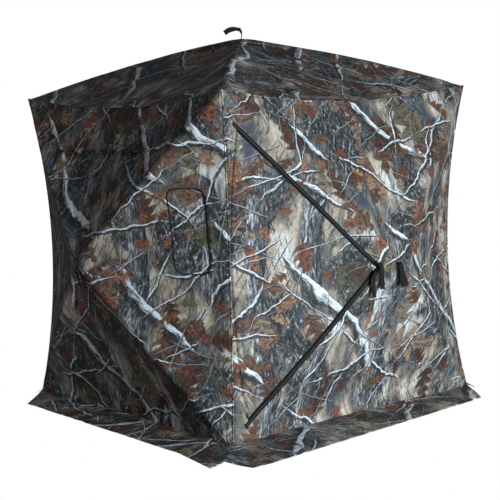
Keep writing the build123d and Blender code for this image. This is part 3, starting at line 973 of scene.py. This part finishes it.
def make_sliders():
    for name, side in (("upper", 1), ("lower", -1)):
        low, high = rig.box(f"{name}_zip_slider")
        centre = (low + high) / 2
        end = place("door", *(DOOR_TOP if side > 0 else DOOR_FOOT), 0.0)
        start = place("door", *DOOR_APEX, height("door", *DOOR_APEX))
        run = (end - start).normalized()
        up = (Vector((1, 0, 0)) - run * run.x).normalized()
        line = [centre + run * d + up * -0.001 for d in (-0.013, -0.012, -0.008, 0.0, 0.008, 0.012, 0.013)]
        body = sweep("body", line, band(0.012, 0.006), run.cross(up), (METAL,),
                     scale=lambda t: 0.55 + 0.45 * math.sin(math.pi * min(1, max(0, 0.1 + 0.8 * t))) ** 0.5)
        arch = [centre + run * d + up * h for d, h in SLIDER_ARCH]
        bridge = sweep("bridge", smooth_path(arch, 4), circle(0.0014, 8), run.cross(up), (METAL,))
        slider = join(f"{name}_slider_body", [body, bridge])
        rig.ride(slider, f"{name}_slider")
        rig.slot(slider, "zip_slider_metal")
        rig.replaces(slider, f"{name}_zip_slider")
        low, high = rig.box(f"{name}_zip_strap")
        mid, top = (low + high) / 2, centre + up * 0.0055
        bend = 1 if side > 0 else -1
        hang = [top, Vector((mid.x + 0.003, (top.y + mid.y) / 2, high.z - 0.006)),
                Vector((mid.x + 0.003, mid.y - 0.002 * bend, high.z - 0.026)),
                Vector((mid.x, mid.y + 0.001 * bend, mid.z)), Vector((mid.x + 0.002, mid.y, low.z + 0.002))]
        piece = strap(f"{name}_pull_strap", smooth_path(hang), 0.021 if side > 0 else 0.018, 0.0022,
                      lambda t: Vector((0.6 * t, 1, 0.15)))
        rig.ride(piece, f"{name}_slider")
        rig.slot(piece, "webbing")
        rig.replaces(piece, f"{name}_zip_strap")


# Windows
def make_windows():
    lay, out = on_cloth("window"), outward("window")

    def behind(x, y):
        slack = 0.0035 * noise.noise(Vector((14 * x, 5 * y, 2.2))) - 0.0020
        return lay(x, y) + out * (slack - 0.0022)

    curtain = patch("window_blackout_curtain", lapped(WINDOW_BAND, 0.020), behind,
                    (WALL_CLOTH["window"], LINING))
    pop_facet(curtain, "window", "top")
    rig.slot(curtain, "wall_cloth")
    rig.replaces(curtain, "window_curtain")
    declare(curtain, (0.640, 0.300), "hung", ["window_toggle_row"], 0.31 * 0.64 * 0.30 + 0.4 * 0.19)
    mesh = patch("slot_window_screen", lapped(WINDOW_SLOT, 0.011), on_cloth("window", -0.0024),
                 (SCREEN, LINING), spacing=0.010, thickness=0.0006)
    frame_tape = patch("slot_window_binding", lapped(WINDOW_SLOT, 0.0028), on_cloth("window", 0.0012),
                       (WEBBING, WEBBING), [lapped(WINDOW_SLOT, -0.0020)], spacing=0.006, thickness=0.0010)
    for piece, slot in ((mesh, "window_mesh"), (frame_tape, "webbing")):
        pop_facet(piece, "window", "right")
        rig.slot(piece, slot)
    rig.replaces(mesh, "slot_window_mesh")
    declare(mesh, (0.172, 0.380), "stretched", ["slot_window_binding"])
    make_toggles()


def toggle_shape(t):
    """A barrel's radius along it: round at its ends, and waisted where its loop holds it."""
    return (1 - (2 * t - 1) ** 6) ** 0.5 * (1 - 0.28 * math.exp(-((t - 0.5) / 0.12) ** 2)) + 0.05


def make_toggles():
    pieces = []
    along = rightward("window")
    for i in range(TOGGLE_COUNT):
        x = BAND_MIDDLE + TOGGLE_LENGTH * (i / (TOGGLE_COUNT - 1) - 0.5)
        cloth = height("window", x, TOGGLE_Y) + wrinkles("window", x, TOGGLE_Y)
        centre = place("window", x, TOGGLE_Y, cloth + 0.0062)
        line = [centre + along * 0.011 * (k / 6 - 1) for k in range(13)]
        pieces.append(sweep("barrel", line, circle(0.0040, 12), (0, 0, 1), (TOGGLE_PLASTIC,),
                            scale=toggle_shape))
        loop = [place("window", x, TOGGLE_Y + dy, height("window", x, TOGGLE_Y) + dz) for dy, dz in
                ((-0.022, 0.0005), (-0.010, 0.004), (0.000, 0.0105), (0.008, 0.006), (0.010, 0.0005))]
        pieces.append(sweep("loop", smooth_path(loop, 5), band(0.006, 0.0012), along, (WEBBING,)))
    row = join("window_toggle_row", pieces)
    pop_facet(row, "window", "top")
    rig.slot(row, "toggle_plastic")
    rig.replaces(row, "window_toggles")


# Rods, hubs and their pull straps
QUADRANTS = (("upper_right", 1, 1), ("upper_left", -1, 1), ("lower_left", -1, -1), ("lower_right", 1, -1))


def make_rods():
    """Each rod bows from its pin in the hub to its tip in a pocket, close under the ridge's cloth."""
    pin, tip, pin_r, tip_gap, under = 0.048, 0.025, 0.040, 0.075, 0.0115
    for panel in PANELS:
        hx, hy = half_size(panel)
        reach = math.hypot(hx, hy)
        for name, sx, sy in QUADRANTS:
            line, far = [], reach - tip_gap
            at_pin = height(panel, sx * hx * pin_r / reach, sy * hy * pin_r / reach) - RISE[panel] + pin
            at_tip = height(panel, sx * hx * far / reach, sy * hy * far / reach) + tip
            for i in range(65):
                q = i / 64
                r = pin_r + (far - pin_r) * q
                x, y = sx * hx * r / reach, sy * hy * r / reach
                gap = under + (at_pin - under) * (1 - q) ** 6 + (at_tip - under) * q ** 6
                line.append(place(panel, x, y, height(panel, x, y) - gap))
            rod = sweep(f"{panel}_pole_{name}", line, circle(0.0045, 12), outward(panel),
                        (ROD, STEEL, HUB_PLASTIC),
                        scale=lambda t: 1.22 if t < 0.05 else (1.16 if t > 0.98 else 1.0),
                        slots=lambda t: 1 if t < 0.05 else (2 if t > 0.98 else 0))
            pop(rod, panel, sx * hx, sy * hy)
            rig.slot(rod, "glass_fibre_rod")
            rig.replaces(rod, f"{panel}_rod_{name}")


# Each strap's path, as (away from the hub's middle, height over the cloth's peak)
ROOF_STRAP_PATH = ((0.0, -0.060), (0.0, -0.02), (-0.002, 0.016), (0.008, 0.033), (0.032, 0.038),
                   (0.058, 0.033), (0.080, 0.020))
WALL_STRAP_PATH = ((0.0, -0.060), (0.0, -0.036), (0.010, -0.024), (0.026, -0.011), (0.040, 0.001),
                   (0.076, 0.000), (0.110, -0.004), (0.140, -0.002))
STRAP_LEAN = math.radians(18)   # how far a wall's strap hangs off the vertical


def strap_width(panel, t):
    """How wide a strap is at a share of its length: gathered at the hub, and spread at its end."""
    if panel == "roof":
        return 0.80 + 0.25 * min(1, max(0, t - 0.6) / 0.2)
    return 0.66 + 0.64 * min(1, max(0, t - 0.50) / 0.35)


def strap_across(panel, level, t):
    """Which way a strap's width runs: the roof's turns on its edge, and a wall's turns to one side."""
    if panel == "roof":
        angle = 1.35 * min(1, max(0, t - 0.2) / 0.5)
        return level * math.cos(angle) + Vector((0.3, 0.3, 1)) * math.sin(angle)
    return level + outward(panel) * (0.8 * min(1, max(0, 2 * t - 1)))


def make_hub_straps():
    """Each strap is a tail that comes out past its hub, and a turn of webbing round it."""
    for panel in PANELS:
        out = outward(panel)
        if panel == "roof":
            path, knot_share = ROOF_STRAP_PATH, 9
            way = Vector((-1, -1, 0)).normalized()
            level = way.cross(Vector((0, 0, 1)))
        else:
            path, knot_share = WALL_STRAP_PATH, 11
            way = rightward(panel) * math.sin(STRAP_LEAN) - Vector((0, 0, math.cos(STRAP_LEAN)))
            level = rightward(panel) * math.cos(STRAP_LEAN) + Vector((0, 0, math.sin(STRAP_LEAN)))
        line = smooth_path([place(panel, 0, 0, RISE[panel] + z) + way * d for d, z in path])
        tail = strap("tail", line, 0.025, 0.0024, lambda t, p=panel, a=level: strap_across(p, a, t),
                     swell=lambda t, p=panel: strap_width(p, t))
        middle = line[len(line) * knot_share // 20]
        knot = [middle + level * (0.011 * math.cos(a)) + out * (0.006 * math.sin(a) + 0.001)
                for a in (2 * math.pi * i / 24 for i in range(25))]
        along = Vector((0, 0, 1)) if panel == "roof" else (line[-1] - line[len(line) // 2]).normalized()
        band_round = sweep("knot", knot, band(0.016, 0.0030), along, (WEBBING,))
        piece = join(f"{panel}_pull_strap", [tail, band_round])
        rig.ride(piece, f"{panel}_hub")
        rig.slot(piece, "webbing")
        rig.replaces(piece, f"{panel}_hub_strap")


# Ground skirts
def skirt_outline(wall):
    side, count = HALF + 0.002, 40
    hem = []
    for i in range(count + 1):
        v = 2 * i / count - 1
        hem.append((side * v, -0.04 * (1 - v ** 2) - 0.002))
    return [*hem, *reversed(SKIRTS[wall])]


def make_skirts():
    for index, wall in enumerate(TURN):
        def lay(x, r, wall=wall, index=index):
            out = max(0.0, min(1.0, r / SKIRT_REACH))
            wave = noise.noise(Vector((9.0 * x, 2.2 * r, 3.3 * index)))
            wave += 0.5 * noise.noise(Vector((21 * x, 4 * r, index)))
            fade = math.sin(math.pi * min(1, 0.15 + 0.85 * out))
            rise = 0.0095 * (1 - out) ** 2 + 0.0085 * max(0, wave + 0.1) * fade
            return place(wall, x, -MID + 0.0012 + min(0.0115, rise), r)
        outline = skirt_outline(wall)
        skirt = patch(f"{wall}_ground_skirt", outline, lay, (SKIRT_CLOTH, LINING), shift=(2.1 * index, 0),
                      flip=True)
        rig.ride(skirt, "shell")
        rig.slot(skirt, "skirt_cloth")
        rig.replaces(skirt, f"{wall}_skirt")
        xs, ys = [p[0] for p in outline], [p[1] for p in outline]
        declare(skirt, (max(ys) - min(ys), max(xs) - min(xs)), "laid", ["floor"], area_of(outline))


# Corner pockets
def make_pockets():
    outer, size = HALF - 0.010, 0.060
    pieces = []
    for turn in TURN.values():
        matrix = Matrix.Rotation(math.radians(turn), 3, "Z")
        for top in (1, 0):
            edge = EAVE - 0.010 if top else 0.0
            for axis in range(3):
                points, faces, uvs, n = [], [], [], 8
                for i in range(n + 1):
                    for j in range(n + 1):
                        a, b = size * i / n, size * j / n
                        c = 0.0016 * math.sin(math.pi * i / n) * math.sin(math.pi * j / n)
                        c -= 0.003 * (i * j / n / n) ** 3
                        p = [0.0, 0.0, 0.0]
                        p[axis], p[(axis + 1) % 3], p[(axis + 2) % 3] = c, a, b
                        x, y, z = outer - p[0], outer - p[1], (edge - p[2]) if top else (edge + p[2])
                        points.append(matrix @ Vector((x, y, z)))
                        uvs.append((a, b))
                for i in range(n):
                    for j in range(n):
                        k = i * (n + 1) + j
                        faces.append((k, k + 1, k + n + 2, k + n + 1))
                leaf = new_object("leaf", points, faces, uvs)
                solid = leaf.modifiers.new("thickness", "SOLIDIFY")
                solid.thickness, solid.offset = 0.0018, 0
                leaf.data.materials.append(POCKET)
                pieces.append(settle(leaf))
        tab = box_outline((outer - 0.069, outer - 0.069), (0.138, 0.138), 0.012)
        ring = [(0.620 + x, 0.620 + y) for x, y in circle(0.009, 20)]
        pieces.append(patch("tab", tab, lambda x, y, m=matrix: m @ Vector((x, y, 0.002)), (POCKET, POCKET),
                            [ring], spacing=0.010, thickness=0.0018))
    pockets = join("corner_pocket_set", pieces)
    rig.ride(pockets, "shell")
    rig.slot(pockets, "pocket_webbing")
    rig.replaces(pockets, "corner_pockets")


def paint_frame():
    """The CAD nodes that stay in view get their own materials."""
    for name, node in frame["nodes"].items():
        if node.hide_render:
            continue
        kind = (BRASS if "grommet" in name else STEEL if name.endswith("_pins") else HUB_PLASTIC)
        for slot in node.material_slots:
            slot.material = kind


# A soft light all round, and lamps: name, place, size, power, aim and colour
FILL = 0.13
LIGHTS = (
    ("key", (7.4, -1.15, 0.62), (2.6, 1.1), 690.0, (0, 0, 0.8), (0.90, 0.97, 1.0)),
    ("top", (1.5, -2.0, 7.0), (4.0, 4.0), 30.0, (0, 0, 0.8), (0.90, 0.97, 1.0)),
)


def make_stage():
    size, below = 60.0, -0.0006
    corners = ((-size, -size, below), (size, -size, below), (size, size, below), (-size, size, below))
    floor = new_object("floor", corners, [(0, 1, 2, 3)])
    paint = Paint("white_floor")
    floor.data.materials.append(paint.finish((0.0, 0.0, 0.0), 1.0, specular=0.0))
    paint.shader.inputs["Emission Color"].default_value = (1, 1, 1, 1)
    paint.shader.inputs["Emission Strength"].default_value = 1.0
    floor.visible_diffuse = floor.visible_glossy = False
    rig.stage(floor)
    world = bpy.data.worlds.new("studio")
    world.use_nodes = True
    tree = world.node_tree
    back = tree.nodes["Background"]
    seen = Wire(tree, tree.nodes.new("ShaderNodeLightPath").outputs["Is Camera Ray"])
    feed(tree, back.inputs["Strength"], seen * (1.0 - FILL) + FILL)
    back.inputs["Color"].default_value = (1, 1, 1, 1)
    bpy.context.scene.world = world
    for name, at, size, power, aim, colour in LIGHTS:
        data = bpy.data.lights.new(name, "AREA")
        data.shape, data.size, data.size_y, data.energy, data.color = "ELLIPSE", *size, power, colour
        lamp = bpy.data.objects.new(name, data)
        lamp.location = at
        lamp.rotation_euler = (Vector(aim) - Vector(at)).to_track_quat("-Z", "Y").to_euler()
        bpy.context.scene.collection.objects.link(lamp)


def make_camera():
    data = bpy.data.cameras.new("camera")
    data.sensor_width, data.lens, data.clip_end = 36.0, 91.26, 200.0
    camera = bpy.data.objects.new("camera", data)
    at = Vector((4.662, -3.9796, 1.3737))
    heading, pitch, roll = math.atan2(-at.y, -at.x) - 0.0018, -0.1113, -0.0303
    level = math.cos(pitch)
    ahead = Vector((math.cos(heading) * level, math.sin(heading) * level, math.sin(pitch)))
    right = ahead.cross(Vector((0, 0, 1))).normalized()
    up = right.cross(ahead)
    right, up = right * math.cos(roll) + up * math.sin(roll), up * math.cos(roll) - right * math.sin(roll)
    camera.matrix_world = Matrix((right, up, -ahead)).transposed().to_4x4()
    camera.location = at
    bpy.context.scene.collection.objects.link(camera)
    bpy.context.scene.camera = camera


make_panels()
make_seams()
make_door()
make_sliders()
make_windows()
make_rods()
make_hub_straps()
make_skirts()
make_pockets()
paint_frame()
make_stage()
make_camera()
bpy.context.scene.view_settings.view_transform = "Standard"

sizes = {"cad": CAD_BOX, "visual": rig.bounds()}
with open("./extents.json", "w") as file:
    json.dump({name: [list(corner) for corner in box] for name, box in sizes.items()}, file)
